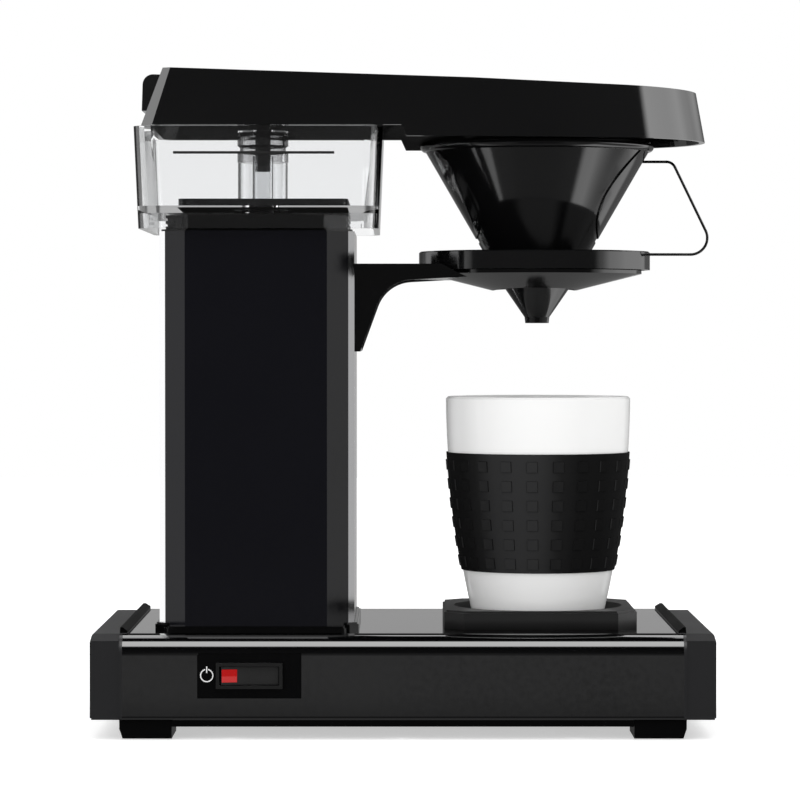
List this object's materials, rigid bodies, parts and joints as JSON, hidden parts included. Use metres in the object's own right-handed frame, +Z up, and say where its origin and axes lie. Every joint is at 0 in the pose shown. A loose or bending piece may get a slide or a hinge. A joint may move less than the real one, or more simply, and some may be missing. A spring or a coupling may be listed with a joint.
{
  "type": "drip coffee maker",
  "caption": "Single-mug drip coffee maker: low base box, boiler column, clear water tank, covered outlet arm, lift-out cone basket and a sleeved mug on its ring.",
  "frame": {"origin": "table level, under the middle of the overall box", "axes": "+X along the base from the column to the mug, +Y to the back, +Z up"},
  "size_m": [0.292, 0.174, 0.3115],
  "materials": {
    "base_metal": "gloss black enamel",
    "trim_plastic": "satin moulded black",
    "switch_plastic": "smooth black",
    "lens_red": "translucent red",
    "pale_plastic": "moulded",
    "soft_rubber": "matte",
    "bright_steel": "zinc plated",
    "polished_shell": "polished and anodised",
    "panel_gloss": "high gloss black",
    "boiler_metal": "drawn tube",
    "hose_silicone": "translucent silicone",
    "tank_clear": "clear",
    "tube_clear": "clear",
    "tube_dark": "smooth",
    "socket_smoke": "smoky translucent",
    "cover_plastic": "satin moulded black",
    "bracket_plastic": "satin moulded black",
    "basket_gloss": "gloss black",
    "wire_black": "black coated wire",
    "ring_plastic": "fine textured black",
    "mug_glaze": "white glaze",
    "sleeve_silicone": "matte silicone"
  },
  "bodies": {
    "stand": {"base_housing": "base_metal", "left_end_cap": "trim_plastic", "right_end_cap": "trim_plastic", "foot_pads": "soft_rubber", "base_plate": "trim_plastic", "base_screws": "bright_steel", "cord_gland": "soft_rubber", "terminal_block": "pale_plastic", "switch_plate": "switch_plastic", "switch_body": "switch_plastic", "column_shell": "polished_shell", "column_front_panel": "panel_gloss", "column_collar": "trim_plastic", "column_foot_plate": "bright_steel", "column_screws": "bright_steel", "column_top_cap": "trim_plastic", "boiler_tube": "boiler_metal", "heating_element": "bright_steel", "boiler_bracket": "bright_steel", "thermostat": "pale_plastic", "thermal_fuse": "pale_plastic", "feed_hose": "hose_silicone", "riser_hose": "hose_silicone", "check_valve": "trim_plastic", "tank_seal": "hose_silicone", "tank_lock_nut": "trim_plastic", "water_tank": "tank_clear", "tank_floor_plate": "trim_plastic", "tank_fitting": "trim_plastic", "riser_tube": "tube_clear", "riser_guard": "tube_clear", "basket_bracket": "bracket_plastic", "bracket_screws": "bright_steel", "mug_ring": "ring_plastic"},
    "rocker": {"rocker_switch": "switch_plastic", "switch_lens": "lens_red"},
    "cover": {"arm_cover": "cover_plastic", "outlet_tube": "tube_dark", "riser_socket": "socket_smoke", "spray_head": "cover_plastic", "lid_pin": "bright_steel"},
    "lid": {"tank_lid": "cover_plastic"},
    "basket": {"brew_basket": "basket_gloss", "basket_plate": "basket_gloss", "basket_nozzle": "basket_gloss", "basket_handle": "wire_black"},
    "mug": {"mug": "mug_glaze", "mug_sleeve": "sleeve_silicone"}
  },
  "joints": [
    {"name": "rocker_tilt", "type": "hinge", "parent": "stand", "child": "rocker", "pos_m": [-0.0711, -0.0825, 0.0299], "axis": [0, 0, 1], "range_deg": [-8, 0]},
    {"name": "cover_lift", "type": "slide", "parent": "stand", "child": "cover", "axis": [0, 0, 1], "range_m": [0, 0.05]},
    {"name": "lid_hinge", "type": "hinge", "parent": "cover", "child": "lid", "pos_m": [-0.0205, -0.015, 0.30583], "axis": [0, 1, 0], "range_deg": [0, 95]},
    {"name": "basket_lift", "type": "slide", "parent": "stand", "child": "basket", "axis": [0, 0, 1], "range_m": [0, 0.006]},
    {"name": "mug_lift", "type": "slide", "parent": "stand", "child": "mug", "axis": [0, 0, 1], "range_m": [0, 0.03]}
  ]
}
